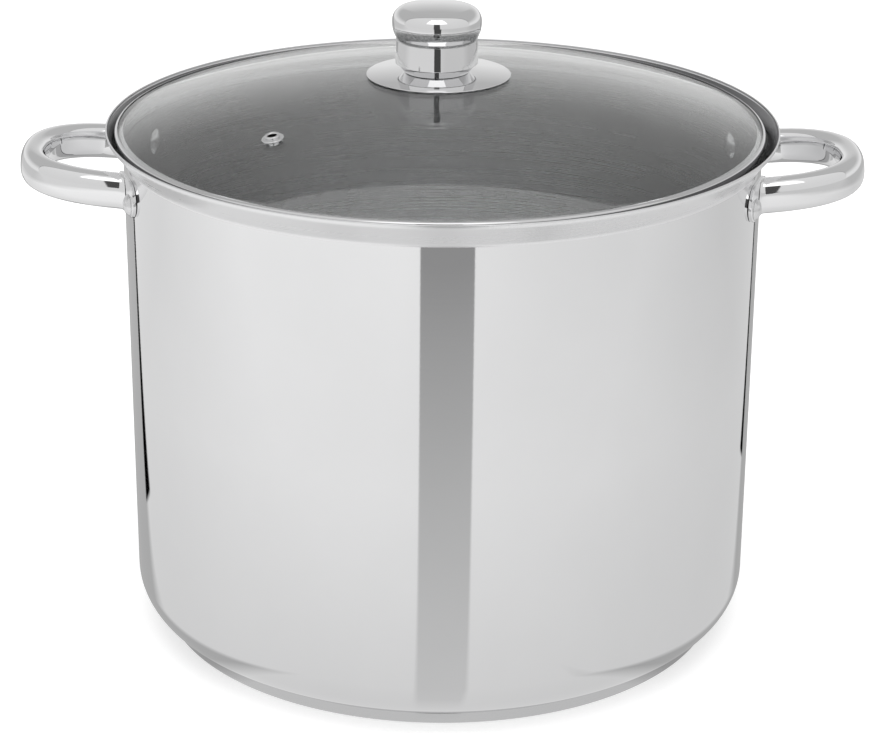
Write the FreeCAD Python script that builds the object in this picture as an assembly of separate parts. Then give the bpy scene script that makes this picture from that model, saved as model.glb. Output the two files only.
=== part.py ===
"""Large stainless stock pot / water-bath canner with a vented glass lid, as separate pieces.

Frame: millimetres, +Z up, origin at the centre of the base's underside, handles along X.
"""
import FreeCAD, Part
import math
import os

from FreeCAD import Rotation, Vector

os.makedirs("parts", exist_ok=True)

# ---------------------------------------------------------------- driving dimensions (mm)
POT_RADIUS = 160.0            # outside of the straight wall
SHEET = 0.8                   # pot wall
LIP_TOP = 262.7               # top of the flared lip, above the table
LIP_RADIUS = 168.4            # outermost edge of the lip
FLARE_START = 249.6           # height where the wall begins to flare
FLARE_ANGLE = 38.5            # slope of the flare from the vertical, degrees
FLARE_ROOT_RADIUS = 2.6
FLARE_EDGE_RADIUS = 3.0

BASE_HEIGHT = 5.2             # underside of the pot's own bottom above the table
CORNER_RADIUS = 21.5          # bottom corner of the pot
BASE_RADIUS = 146.1           # encapsulated base
BASE_SHEET = 0.6
BASE_EDGE_RADIUS = 2.0

HANDLE_REACH = 212.3          # pot axis to the outermost point of a handle
HANDLE_HALF_SPAN = 40.9       # tube centre line to the pot's centre plane, at the root
HANDLE_LOOP_LENGTH = 45.5
HANDLE_ROUNDNESS = 2.4        # exponent of the loop's superellipse
HANDLE_HEIGHT = 240.2         # tube centre at mid reach
HANDLE_RISE = 5.7             # upward slope outwards, degrees
TUBE_DEPTH = 12.5             # tube section, measured in the loop's plane
TUBE_TALL = 17.5
TUBE_ROUNDNESS = 2.7
TUBE_WALL = 1.0

RIVET_AZIMUTH = 19.2          # rivets from the handle's axis, degrees
RIVET_HEIGHT = 234.0
SHANK_RADIUS = 3.0
OUTER_HEAD_RADIUS = 5.5
OUTER_HEAD_TALL = 2.7
INNER_HEAD_RADIUS = 6.7
INNER_HEAD_TALL = 2.2
EAR_THICK = 1.8
EAR_MIDDLE = 237.0            # height of the ear's middle
EAR_END_RADIUS = 9.2
EAR_LENGTH = 20.0             # from the rounded end's centre to the hidden inner end

LID_OFFSET = -1.3             # the loose lid sits this far off centre in its seat, along X
GLASS_THICK = 4.0
GLASS_CURVE = 519.0           # radius of the dome's upper face
GLASS_TOP = 287.4             # highest point of the glass
BAND_RADIUS = 162.8
BAND_SHEET = 0.5
BAND_EDGE_RADIUS = 1.6
BAND_TOP_LAP = 0.3
BAND_LOWER_LAP = 3.6
BAND_PARTS = 24               # equal turns that the thin ring is made of

VENT_RADIUS = 111.6           # vent from the lid's centre
VENT_AZIMUTH = 225.0
VENT_HOLE = 2.2
VENT_TUBE_WALL = 0.5
VENT_FLANGE = 5.4
VENT_LIP_RADIUS = 3.7
VENT_LIP_TALL = 2.6
VENT_FLANGE_TALL = 1.1
VENT_WASHER = 4.6

GLASS_HOLE = 5.5
GASKET_RADIUS = 11.0
GASKET_THICK = 0.3
KNOB_OFFSET = -2.0            # the knob's screw from the lid's centre, along X
FLANGE_OFFSET = -1.0          # the flange has play round the screw
FLANGE_RADIUS = 36.0
FLANGE_SHEET = 0.6
FLANGE_DROP = 3.2             # downward slope of the flange's outer part, degrees
FLANGE_FLAT = 14.0
FLANGE_HOLE = 4.0

KNOB_SHEET = 0.6
CUP_SLOPE = 50.0              # cone of the knob's lower cup, from horizontal, degrees
CUP_EDGE_RADIUS = 1.0
SEAM_RADIUS = 20.65           # widest part of the cup, under the cap's edge
SEAM_HEIGHT = 4.4             # above the flange
SEAM_GAP = 0.15
CAP_TAPER = 2.5               # lean of the cap's side, degrees
CAP_SIDE = 11.2
WAIST_RADIUS = 5.0
BELLY_RADIUS = 13.5
BELLY_TURN = 27.5
BELLY_LAND = 1.3
SHOULDER_RADIUS = 6.9
SHOULDER_TURN = 83.4

BOSS_RADIUS = 6.0
BOSS_TALL = 13.0
SCREW_RADIUS = 2.5
SCREW_HEAD_RADIUS = 5.2
SCREW_HEAD_TALL = 2.9
SCREW_RECESS = 1.6
SCREW_REACH = 0.7             # how far up the boss the screw goes, as a share of its height
TAPPED_REACH = 0.8            # how far up the boss is tapped
WASHER_RADIUS = 9.0
WASHER_THICK = 0.8
RUNNING_GAP = 0.05            # clearance round the screw and the rivets

LOOP_POINTS = 17              # points that a handle's bend is fitted through
OVAL_POINTS = 24              # points that the tube's oval is fitted through
TINY = 0.01                   # slack when edges are picked by their place

AXIS = Vector(0, 0, 1)
FULL_TURN = 360


# ---------------------------------------------------------------- helpers
def save(name, shape):
    """Write one node and say how big it is."""
    shape.exportStep("parts/%s.step" % name)
    print("%-22s solids %d  volume %.0f" % (name, len(shape.Solids), shape.Volume))


def point(radius, height):
    """A point of a half section, in the XZ plane."""
    return Vector(radius, 0, height)


def polar(angle):
    """Unit vector of a half section at an angle from the outward direction, in degrees."""
    turn = math.radians(angle)
    return Vector(math.cos(turn), 0, math.sin(turn))


def sheet_edges(start, heading, steps, offset):
    """Edges of a sheet's face: runs of (length,) and bends of (radius, turn), offset to the left."""
    here = start
    edges = []
    for step in steps:
        side = polar(heading + 90)
        if len(step) == 1:
            there = here + polar(heading) * step[0]
            edges.append(Part.LineSegment(here + side * offset, there + side * offset).toShape())
            here = there
            continue
        radius, turn = step
        toward = 1 if turn > 0 else -1
        centre = here + side * (radius * toward)
        reach = radius - offset * toward

        def on_arc(share):
            return centre - polar(heading + turn * share + 90) * (reach * toward)

        edges.append(Part.Arc(on_arc(0), on_arc(0.5), on_arc(1)).toShape())
        heading += turn
        here = centre - polar(heading + 90) * (radius * toward)
    return edges, here, heading


def pressed_sheet(start, heading, steps, thickness, round_end=False, turner=None):
    """Spun sheet part: its half section follows the steps, with the metal to the left of the path."""
    outer, end, last = sheet_edges(start, heading, steps, 0)
    inner = sheet_edges(start, heading, steps, thickness)[0]
    inner_start = start + polar(heading + 90) * thickness
    inner_end = end + polar(last + 90) * thickness
    if round_end:
        tip = end + polar(last + 90) * (thickness / 2) + polar(last) * (thickness / 2)
        end_edge = Part.Arc(end, tip, inner_end).toShape()
    else:
        end_edge = Part.LineSegment(end, inner_end).toShape()
    start_edge = Part.LineSegment(inner_start, start).toShape()
    edges = outer + [end_edge] + inner + [start_edge]
    wire = Part.Wire(Part.__sortEdges__(edges))
    return (turner or spun)(Part.Face(wire))


def spun(face):
    """Solid of revolution of a half section about the vertical axis."""
    return face.revolve(Vector(0, 0, 0), AXIS, FULL_TURN)


def spun_in_parts(face):
    """The same, made of equal turns, for a wide ring of thin sheet."""
    turn = FULL_TURN / BAND_PARTS
    part = face.revolve(Vector(0, 0, 0), AXIS, turn)
    others = []
    for index in range(1, BAND_PARTS):
        other = part.copy()
        other.rotate(Vector(0, 0, 0), AXIS, index * turn)
        others.append(other)
    return part.fuse(others)


def disc(radius, low, high):
    return Part.makeCylinder(radius, high - low, Vector(0, 0, low))


def ring(outer, inner, low, high):
    return disc(outer, low, high).cut(disc(inner, low - 1, high + 1))


def facing_out(azimuth, height):
    """Placement whose Z axis points out of the pot at an azimuth, and whose Y axis points up."""
    turn = math.radians(azimuth)
    outward = Vector(math.cos(turn), math.sin(turn), 0)
    sideways = AXIS.cross(outward)
    rotation = Rotation(sideways, AXIS, outward, "ZXY")
    return FreeCAD.Placement(Vector(0, 0, height), rotation)


def domed_head(radius, tall, base):
    """Button head on a flat base, pointing up its own Z axis."""
    curve = (radius * radius + tall * tall) / (2 * tall)
    ball = Part.makeSphere(curve, Vector(0, 0, base + tall - curve))
    return ball.common(disc(radius, base, base + tall + 1))


def superellipse(half_wide, half_tall, power, angle):
    """A point of a superellipse, at an angle in radians."""
    cosine = math.cos(angle)
    sine = math.sin(angle)
    wide = half_wide * math.copysign(abs(cosine) ** (2 / power), cosine)
    tall = half_tall * math.copysign(abs(sine) ** (2 / power), sine)
    return wide, tall


# ---------------------------------------------------------------- pot
def lip_steps():
    """Steps of the wall's path from the start of the flare to the lip's rounded edge."""
    slope = math.radians(FLARE_ANGLE)
    bend_out = (FLARE_ROOT_RADIUS + FLARE_EDGE_RADIUS) * (1 - math.cos(slope))
    cone = (LIP_RADIUS - POT_RADIUS - bend_out) / math.sin(slope)
    climb = (FLARE_ROOT_RADIUS + FLARE_EDGE_RADIUS) * math.sin(slope) + cone * math.cos(slope)
    edge = LIP_TOP - SHEET / 2 - FLARE_START - climb
    return [(FLARE_ROOT_RADIUS, -FLARE_ANGLE), (cone,), (FLARE_EDGE_RADIUS, FLARE_ANGLE), (edge,)]


def shell_steps():
    flat = POT_RADIUS - CORNER_RADIUS
    wall = FLARE_START - BASE_HEIGHT - CORNER_RADIUS
    return [(flat,), (CORNER_RADIUS, 90), (wall,)] + lip_steps()


def rivet_places():
    """Name and azimuth of each rivet and ear."""
    return {
        "right_front": -RIVET_AZIMUTH,
        "right_rear": RIVET_AZIMUTH,
        "left_rear": 180 - RIVET_AZIMUTH,
        "left_front": 180 + RIVET_AZIMUTH,
    }


def shank(azimuth, radius, low, high):
    """Radial pin at a rivet's place, from one distance to another from the pot's axis."""
    pin = disc(radius, low, high)
    pin.Placement = facing_out(azimuth, RIVET_HEIGHT)
    return pin


def make_shell():
    """Drawn pot: flat bottom, round corner, straight wall and flared lip."""
    shell = pressed_sheet(point(0, BASE_HEIGHT), 0, shell_steps(), SHEET, round_end=True)
    for azimuth in rivet_places().values():
        hole = shank(azimuth, SHANK_RADIUS + RUNNING_GAP, POT_RADIUS - CORNER_RADIUS, POT_RADIUS + EAR_THICK)
        shell = shell.cut(hole)
    return shell


def pot_outside():
    """Solid with the pot's outer shape, for seating the base on it."""
    corner_top = BASE_HEIGHT + CORNER_RADIUS
    outside = disc(POT_RADIUS, BASE_HEIGHT, corner_top + CORNER_RADIUS)
    bottom_edges = [edge for edge in outside.Edges if edge.BoundBox.ZMax < BASE_HEIGHT + 1]
    return outside.makeFillet(CORNER_RADIUS, bottom_edges[:1])


def rounded_disc(radius, low, high, edge_radius):
    """Disc with a rounded lower edge."""
    body = disc(radius, low, high)
    lower = [edge for edge in body.Edges if edge.BoundBox.ZMax < low + edge_radius / 2]
    return body.makeFillet(edge_radius, lower[:1])


def make_base():
    """Aluminium heat-spreading disc, and the steel cap that encloses it."""
    seat = pot_outside()
    above_seam = BASE_HEIGHT + CORNER_RADIUS / 2
    core_radius = BASE_RADIUS - BASE_SHEET
    inside = rounded_disc(core_radius, BASE_SHEET, above_seam, BASE_EDGE_RADIUS - BASE_SHEET)
    cap = rounded_disc(BASE_RADIUS, 0, above_seam, BASE_EDGE_RADIUS)
    return inside.cut(seat), cap.cut(inside).cut(seat)


# ---------------------------------------------------------------- handles
def loop_path():
    """Centre line of a handle tube seen from above: two arms and a superelliptic end."""
    root = HANDLE_REACH - TUBE_DEPTH / 2 - HANDLE_LOOP_LENGTH
    points = []
    for index in range(LOOP_POINTS):
        angle = math.pi * (index / (LOOP_POINTS - 1) - 0.5)
        along, across = superellipse(HANDLE_LOOP_LENGTH, HANDLE_HALF_SPAN, HANDLE_ROUNDNESS, angle)
        points.append(Vector(root + abs(along), across, 0))
    bend = Part.BSplineCurve()
    bend.interpolate(points, InitialTangent=Vector(1, 0, 0), FinalTangent=Vector(-1, 0, 0))
    inner = Vector(-HANDLE_LOOP_LENGTH / 2, 0, 0)
    first = Part.LineSegment(points[0] + inner, points[0]).toShape()
    last = Part.LineSegment(points[-1], points[-1] + inner).toShape()
    return Part.Wire([first, bend.toShape(), last])


def tube_section(path, inset):
    """Closed oval at the path's start, square to the arm."""
    start = path.Vertexes[0].Point
    points = []
    for index in range(OVAL_POINTS):
        angle = 2 * math.pi * (index + 0.5) / OVAL_POINTS
        half_deep = TUBE_DEPTH / 2 - inset
        half_tall = TUBE_TALL / 2 - inset
        deep, tall = superellipse(half_deep, half_tall, TUBE_ROUNDNESS, angle)
        points.append(start + Vector(0, deep, tall))
    oval = Part.BSplineCurve()
    oval.interpolate(points, PeriodicFlag=True)
    return Part.Wire(oval.toShape())


def swept_tube(path, inset):
    sweep = Part.BRepOffsetAPI.MakePipeShell(path)
    sweep.setBiNormalMode(AXIS)
    sweep.add(tube_section(path, inset), False, False)
    sweep.build()
    sweep.makeSolid()
    return sweep.shape()


def make_handle(side):
    """Hollow bent tube; side is 1 for the right-hand handle and -1 for the left-hand one."""
    path = loop_path()
    tube = swept_tube(path, 0).cut(swept_tube(path, TUBE_WALL))
    pivot = (POT_RADIUS + HANDLE_REACH) / 2
    tube.rotate(Vector(pivot, 0, 0), Vector(0, 1, 0), -HANDLE_RISE)
    tube.translate(Vector(0, 0, HANDLE_HEIGHT))
    for azimuth in (RIVET_AZIMUTH, -RIVET_AZIMUTH):
        behind = Part.makeBox(POT_RADIUS, POT_RADIUS, POT_RADIUS)
        behind.translate(Vector(-POT_RADIUS / 2, -POT_RADIUS / 2, 0))
        behind.Placement = facing_out(azimuth, HANDLE_HEIGHT).multiply(behind.Placement)
        outward = Vector(math.cos(math.radians(azimuth)), math.sin(math.radians(azimuth)), 0)
        behind.translate(outward * (EAR_THICK + RUNNING_GAP))
        tube = tube.cut(behind)
    if side < 0:
        tube.rotate(Vector(0, 0, 0), AXIS, 180)
    return tube


def make_ear(azimuth, tube_side):
    """Flat ear welded to a tube end; tube_side is the sideways direction of the tube, 1 or -1."""
    base = POT_RADIUS + RUNNING_GAP
    round_end = disc(EAR_END_RADIUS, base, base + EAR_THICK)
    tail = Part.makeBox(EAR_LENGTH, 2 * EAR_END_RADIUS, EAR_THICK, Vector(0, -EAR_END_RADIUS, base))
    if tube_side < 0:
        tail.translate(Vector(-EAR_LENGTH, 0, 0))
    ear = round_end.fuse(tail).removeSplitter()
    corners = [edge for edge in ear.Edges if abs(edge.CenterOfMass.x) > EAR_LENGTH - 1
               and abs(edge.BoundBox.YLength) < TINY and edge.Length < 2 * EAR_THICK]
    ear = ear.makeFillet(EAR_END_RADIUS / 3, corners)
    outer_rim = [edge for edge in ear.Edges if edge.BoundBox.ZMin > base + EAR_THICK - TINY]
    ear = ear.makeFillet(EAR_THICK / 4, outer_rim)
    ear.Placement = facing_out(azimuth, EAR_MIDDLE)
    return ear.cut(shank(azimuth, SHANK_RADIUS + RUNNING_GAP, base - 1, base + EAR_THICK + 1))


def make_rivet(azimuth):
    """Solid rivet through the wall and the ear, with a domed head on each side."""
    inner_face = POT_RADIUS - SHEET
    wall_sag = INNER_HEAD_RADIUS ** 2 / (2 * inner_face)
    low = inner_face - wall_sag - RUNNING_GAP
    high = POT_RADIUS + 2 * RUNNING_GAP + EAR_THICK
    pin = disc(SHANK_RADIUS, low, high)
    outer_head = domed_head(OUTER_HEAD_RADIUS, OUTER_HEAD_TALL, high)
    inner_head = domed_head(INNER_HEAD_RADIUS, INNER_HEAD_TALL, 0)
    inner_head.rotate(Vector(0, 0, 0), Vector(1, 0, 0), 180)
    inner_head.translate(Vector(0, 0, low))
    rivet = pin.fuse([outer_head, inner_head]).removeSplitter()
    rivet.Placement = facing_out(azimuth, RIVET_HEIGHT)
    return rivet


# ---------------------------------------------------------------- lid
def glass_height(radius, inset):
    """Height of the dome at a radius, at a depth below its upper face."""
    curve = GLASS_CURVE - inset
    return GLASS_TOP - GLASS_CURVE + math.sqrt(curve * curve - radius * radius)


def vent_placement():
    """Placement with its origin on the glass's upper face at the vent and Z along the glass's normal."""
    centre = Vector(0, 0, GLASS_TOP - GLASS_CURVE)
    lean = math.asin(VENT_RADIUS / GLASS_CURVE)
    turn = math.radians(VENT_AZIMUTH)
    flat = math.sin(lean)
    normal = Vector(flat * math.cos(turn), flat * math.sin(turn), math.cos(lean))
    return FreeCAD.Placement(centre + normal * GLASS_CURVE, Rotation(AXIS, normal))


def make_glass():
    """Domed tempered glass with a knob hole, a vent hole and a ground edge."""
    centre = Vector(0, 0, GLASS_TOP - GLASS_CURVE)
    edge_radius = BAND_RADIUS - BAND_SHEET
    upper = Part.makeSphere(GLASS_CURVE, centre)
    lower = Part.makeSphere(GLASS_CURVE - GLASS_THICK, centre)
    blank = disc(edge_radius, GLASS_TOP - edge_radius, GLASS_TOP + 1)
    glass = blank.common(upper).cut(lower)
    rims = [edge for edge in glass.Edges if abs(edge.BoundBox.XMax - edge_radius) < 10 * TINY
            and edge.BoundBox.ZLength < TINY]
    glass = glass.makeFillet(BAND_EDGE_RADIUS - BAND_SHEET + 2 * RUNNING_GAP, rims)
    knob_hole = disc(GLASS_HOLE, GLASS_TOP - 2 * GLASS_THICK, GLASS_TOP + 1)
    knob_hole.translate(Vector(KNOB_OFFSET, 0, 0))
    glass = glass.cut(knob_hole)
    vent_hole = disc(VENT_HOLE + VENT_TUBE_WALL + RUNNING_GAP, -2 * GLASS_THICK, GLASS_THICK)
    vent_hole.Placement = vent_placement()
    return glass.cut(vent_hole)


def make_band():
    """Rolled steel channel round the glass edge: lower lap, outer wall and narrow top lap."""
    lean = math.asin(BAND_RADIUS / GLASS_CURVE)
    slope = math.degrees(lean)
    clear = BAND_SHEET / math.cos(lean) + RUNNING_GAP
    lap_end = BAND_RADIUS - BAND_EDGE_RADIUS * (1 + math.sin(lean))
    start_radius = lap_end - BAND_LOWER_LAP * math.cos(lean)
    start = point(start_radius, glass_height(start_radius, GLASS_THICK) - clear)
    top_radius = BAND_RADIUS - BAND_EDGE_RADIUS * (1 - math.sin(lean))
    rise = glass_height(top_radius, 0) + clear - start.z
    wall = rise + BAND_LOWER_LAP * math.sin(lean) - 2 * BAND_EDGE_RADIUS * math.cos(lean)
    steps = [(BAND_LOWER_LAP,), (BAND_EDGE_RADIUS, 90 + slope), (wall,),
             (BAND_EDGE_RADIUS, 90 - slope), (BAND_TOP_LAP,)]
    return pressed_sheet(start, -slope, steps, BAND_SHEET, turner=spun_in_parts)


def make_vent_eyelet():
    """Steel eyelet in the vent hole: raised lip, flange on the glass and a tube through it."""
    tube = VENT_HOLE + VENT_TUBE_WALL
    body = disc(VENT_FLANGE, 0, VENT_FLANGE_TALL)
    body = body.makeFillet(VENT_FLANGE_TALL / 2, [edge for edge in body.Edges
                                                  if edge.BoundBox.ZMin > VENT_FLANGE_TALL / 2][:1])
    lip = disc(VENT_LIP_RADIUS, 0, VENT_LIP_TALL)
    lip = lip.makeFillet(VENT_TUBE_WALL, [edge for edge in lip.Edges
                                          if edge.BoundBox.ZMin > VENT_LIP_TALL / 2][:1])
    stem = disc(tube, -GLASS_THICK - 2 * VENT_TUBE_WALL, 0)
    body = body.fuse([lip, stem]).removeSplitter()
    body = body.cut(disc(VENT_HOLE, -2 * GLASS_THICK, GLASS_THICK))
    body.Placement = vent_placement()
    return body


def make_vent_washer():
    """Washer that the eyelet's tube is flared over, under the glass."""
    tube = VENT_HOLE + VENT_TUBE_WALL
    high = -GLASS_THICK - RUNNING_GAP
    washer = ring(VENT_WASHER, tube + RUNNING_GAP, high - VENT_TUBE_WALL, high)
    washer.Placement = vent_placement()
    return washer


# ---------------------------------------------------------------- knob
FLANGE_BASE = GLASS_TOP + GASKET_THICK
KNOB_BASE = FLANGE_BASE + FLANGE_SHEET
GASKET_REACH = GASKET_RADIUS + abs(KNOB_OFFSET)
GLASS_SAG = GASKET_REACH ** 2 / (2 * (GLASS_CURVE - GLASS_THICK)) + RUNNING_GAP
GASKET_TOP = GLASS_TOP - GLASS_THICK - GLASS_SAG
WASHER_TOP = GASKET_TOP - GASKET_THICK


def make_upper_gasket():
    """Silicone washer on the glass, with a short sleeve down into the hole."""
    bore = SCREW_RADIUS + RUNNING_GAP
    washer = ring(GASKET_RADIUS, bore, GLASS_TOP, FLANGE_BASE)
    sleeve = ring(GLASS_HOLE - RUNNING_GAP, bore, GLASS_TOP - GLASS_THICK / 2, GLASS_TOP)
    return washer.fuse(sleeve).removeSplitter()


def make_lower_gasket():
    """Silicone washer under the glass, with a short sleeve up into the hole."""
    bore = SCREW_RADIUS + RUNNING_GAP
    washer = ring(GASKET_RADIUS, bore, WASHER_TOP, GASKET_TOP)
    sleeve_top = GLASS_TOP - GLASS_THICK / 2 - RUNNING_GAP
    sleeve = ring(GLASS_HOLE - RUNNING_GAP, bore, GASKET_TOP, sleeve_top)
    return washer.fuse(sleeve).removeSplitter()


def make_screw_washer():
    return ring(WASHER_RADIUS, SCREW_RADIUS + RUNNING_GAP, WASHER_TOP - WASHER_THICK, WASHER_TOP)


def make_screw():
    """Knob screw from below: round head with a cross recess, shank up into the boss."""
    seat = WASHER_TOP - WASHER_THICK
    head = domed_head(SCREW_HEAD_RADIUS, SCREW_HEAD_TALL, 0)
    head.rotate(Vector(0, 0, 0), Vector(1, 0, 0), 180)
    head.translate(Vector(0, 0, seat))
    stem = disc(SCREW_RADIUS, seat, KNOB_BASE + KNOB_SHEET + BOSS_TALL * SCREW_REACH)
    screw = stem.fuse(head).removeSplitter()
    blade_long = SCREW_HEAD_RADIUS
    blade_wide = SCREW_HEAD_RADIUS / 5
    for long_side, wide_side in ((blade_long, blade_wide), (blade_wide, blade_long)):
        blade = Part.makeBox(long_side, wide_side, SCREW_RECESS,
                             Vector(-long_side / 2, -wide_side / 2, seat - SCREW_HEAD_TALL - TINY))
        screw = screw.cut(blade)
    return screw


def make_flange():
    """Wide polished disc under the knob, sloping down over the dome."""
    start = point(FLANGE_HOLE, FLANGE_BASE)
    steps = [(FLANGE_FLAT - start.x,), (GASKET_RADIUS, -FLANGE_DROP)]
    end = sheet_edges(start, 0, steps, 0)[1]
    reach = (FLANGE_RADIUS - FLANGE_SHEET / 2 - end.x) / math.cos(math.radians(FLANGE_DROP))
    return pressed_sheet(start, 0, steps + [(reach,)], FLANGE_SHEET, round_end=True)


def make_knob_cup():
    """Lower half of the knob: floor, cone and a spigot inside the cap."""
    slope = math.radians(CUP_SLOPE)
    tangent = CUP_EDGE_RADIUS * math.tan(slope / 2)
    start = point(SCREW_RADIUS + RUNNING_GAP, KNOB_BASE)
    spigot_tall = CAP_SIDE / 4
    lean_in = spigot_tall * math.tan(math.radians(CAP_TAPER))
    spigot_radius = SEAM_RADIUS - KNOB_SHEET - lean_in - 2 * RUNNING_GAP
    rest_turn = 90 - CUP_SLOPE
    top_tangent = CUP_EDGE_RADIUS * math.tan(math.radians(rest_turn) / 2)
    floor_corner = spigot_radius - (SEAM_HEIGHT / math.tan(slope))
    floor_run = floor_corner - tangent - start.x
    cone = SEAM_HEIGHT / math.sin(slope) - tangent - top_tangent
    steps = [(floor_run,), (CUP_EDGE_RADIUS, CUP_SLOPE), (cone,), (CUP_EDGE_RADIUS, rest_turn),
             (spigot_tall,)]
    return pressed_sheet(start, 0, steps, KNOB_SHEET)


def make_knob_cap():
    """Upper half of the knob: waisted side, belly, shoulder and a nearly flat crown."""
    start = point(SEAM_RADIUS, KNOB_BASE + SEAM_HEIGHT + SEAM_GAP)
    heading = 90 + CAP_TAPER
    steps = [(CAP_SIDE,), (WAIST_RADIUS, -BELLY_TURN - CAP_TAPER), (BELLY_RADIUS, BELLY_TURN),
             (BELLY_LAND,), (SHOULDER_RADIUS, SHOULDER_TURN)]
    end, last = sheet_edges(start, heading, steps, 0)[1:]
    rest = 180 - last
    crown = end.x / math.sin(math.radians(rest))
    return pressed_sheet(start, heading, steps + [(crown, rest)], KNOB_SHEET)


def make_boss():
    """Threaded boss welded to the cup's floor."""
    floor = KNOB_BASE + KNOB_SHEET
    boss = disc(BOSS_RADIUS, floor, floor + BOSS_TALL)
    return boss.cut(disc(SCREW_RADIUS + RUNNING_GAP, floor - 1, floor + BOSS_TALL * TAPPED_REACH))


# ---------------------------------------------------------------- the pieces
save("pot_shell", make_shell())
core, cap = make_base()
save("base_core", core)
save("base_cap", cap)
save("right_handle", make_handle(1))
save("left_handle", make_handle(-1))
for place, azimuth in rivet_places().items():
    toward_tube = 1 if place in ("right_front", "left_rear") else -1
    save(place + "_ear", make_ear(azimuth, toward_tube))
    save(place + "_rivet", make_rivet(azimuth))

lid_pieces = {
    "lid_glass": make_glass(),
    "lid_rim_band": make_band(),
    "vent_eyelet": make_vent_eyelet(),
    "vent_washer": make_vent_washer(),
    "knob_gasket_upper": make_upper_gasket(),
    "knob_gasket_lower": make_lower_gasket(),
    "knob_screw_washer": make_screw_washer(),
    "knob_screw": make_screw(),
    "knob_flange": make_flange(),
    "knob_cup": make_knob_cup(),
    "knob_cap": make_knob_cap(),
    "knob_boss": make_boss(),
}
for name, shape in lid_pieces.items():
    offset = LID_OFFSET
    if name == "knob_flange":
        offset += FLANGE_OFFSET
    elif name.startswith("knob_"):
        offset += KNOB_OFFSET
    shape.translate(Vector(offset, 0, 0))
    save(name, shape)
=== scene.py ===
"""Looks of a large stainless stock pot with a vented glass lid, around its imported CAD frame. Metres."""

import math

import bmesh
import bpy
from mathutils import Matrix, Vector


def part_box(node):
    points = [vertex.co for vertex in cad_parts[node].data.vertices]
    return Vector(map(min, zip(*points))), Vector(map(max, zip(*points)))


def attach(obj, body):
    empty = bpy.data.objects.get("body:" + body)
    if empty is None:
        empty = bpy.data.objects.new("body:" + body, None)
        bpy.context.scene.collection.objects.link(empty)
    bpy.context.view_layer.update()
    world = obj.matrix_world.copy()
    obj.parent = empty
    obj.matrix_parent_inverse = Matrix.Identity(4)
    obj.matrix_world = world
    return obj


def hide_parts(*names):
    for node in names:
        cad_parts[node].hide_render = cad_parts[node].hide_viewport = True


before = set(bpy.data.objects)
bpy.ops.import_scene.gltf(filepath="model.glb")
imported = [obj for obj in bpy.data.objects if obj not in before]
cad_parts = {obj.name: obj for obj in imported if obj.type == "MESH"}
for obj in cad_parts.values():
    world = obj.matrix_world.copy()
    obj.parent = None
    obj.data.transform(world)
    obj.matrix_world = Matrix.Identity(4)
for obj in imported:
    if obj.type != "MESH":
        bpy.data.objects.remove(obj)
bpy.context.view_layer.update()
MM = 0.001

# ---------------------------------------------------------------- sizes, as in the CAD
POT_RADIUS = 160.0 * MM
SHEET = 0.8 * MM
LIP_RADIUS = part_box("pot_shell")[1].x
LIP_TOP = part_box("pot_shell")[1].z
POT_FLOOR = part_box("pot_shell")[0].z
FLARE_START = 249.6 * MM
FLARE_ANGLE = 38.5
FLARE_ROOT_RADIUS = 2.6 * MM
FLARE_EDGE_RADIUS = 3.0 * MM
CORNER_RADIUS = 21.5 * MM

CAP_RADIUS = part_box("base_cap")[1].x
CAP_EDGE_RADIUS = 2.0 * MM
CAP_RIM = 0.35 * MM            # thickness of the cap's sheet at its turned-in upper edge
CAP_RIM_TURN = 55

HANDLE_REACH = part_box("right_handle")[1].x
HANDLE_HALF_SPAN = 40.9 * MM
HANDLE_LOOP_LENGTH = 45.5 * MM
HANDLE_ROUNDNESS = 2.4
HANDLE_HEIGHT = 240.2 * MM
HANDLE_RISE = 5.7
TUBE_DEPTH = 12.5 * MM
TUBE_TALL = 17.5 * MM
TUBE_ROUNDNESS = 2.7
EAR_THICK = 1.8 * MM
RIVET_AZIMUTH = 19.2
WELD_TALL = 0.7 * MM           # fillet where the tube meets its ear
WELD_START = 0.7               # share of the run to the ear where the fillet begins
WELD_RINGS = (0.4, WELD_START, 0.86, 0.93, 0.97, 1.0)

GLASS_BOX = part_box("lid_glass")
LID_CENTRE = (GLASS_BOX[0].x + GLASS_BOX[1].x) / 2
GLASS_TOP = 287.4 * MM
GLASS_EDGE = (GLASS_BOX[1].x - GLASS_BOX[0].x) / 2
GLASS_THICK = 4.0 * MM
GLASS_CURVE = 519.0 * MM
GLASS_HOLE = 5.5 * MM
GROUND_TURN = 80               # how far round the glass edge is ground
BAND_RADIUS = GLASS_EDGE + 0.5 * MM
BAND_SHEET = 0.5 * MM
BAND_EDGE_RADIUS = 1.6 * MM
BAND_TOP_LAP = 0.3 * MM
BAND_LOWER_LAP = 3.6 * MM
# outer part of the band's lower lap, a run of its own so that it takes the painted shade with the band's
# inner faces
PAINTED_SHADE_LAP = 1.4 * MM
RUNNING_GAP = 0.05 * MM

VENT_RADIUS = 111.6 * MM
VENT_AZIMUTH = 225.0
VENT_HOLE = 2.2 * MM
VENT_TUBE_WALL = 0.5 * MM
VENT_FLANGE = 5.4 * MM
VENT_LIP_RADIUS = 3.7 * MM
VENT_LIP_TALL = 2.6 * MM
VENT_FLANGE_TALL = 1.1 * MM
VENT_NECK_IN = 0.2 * MM

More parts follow.
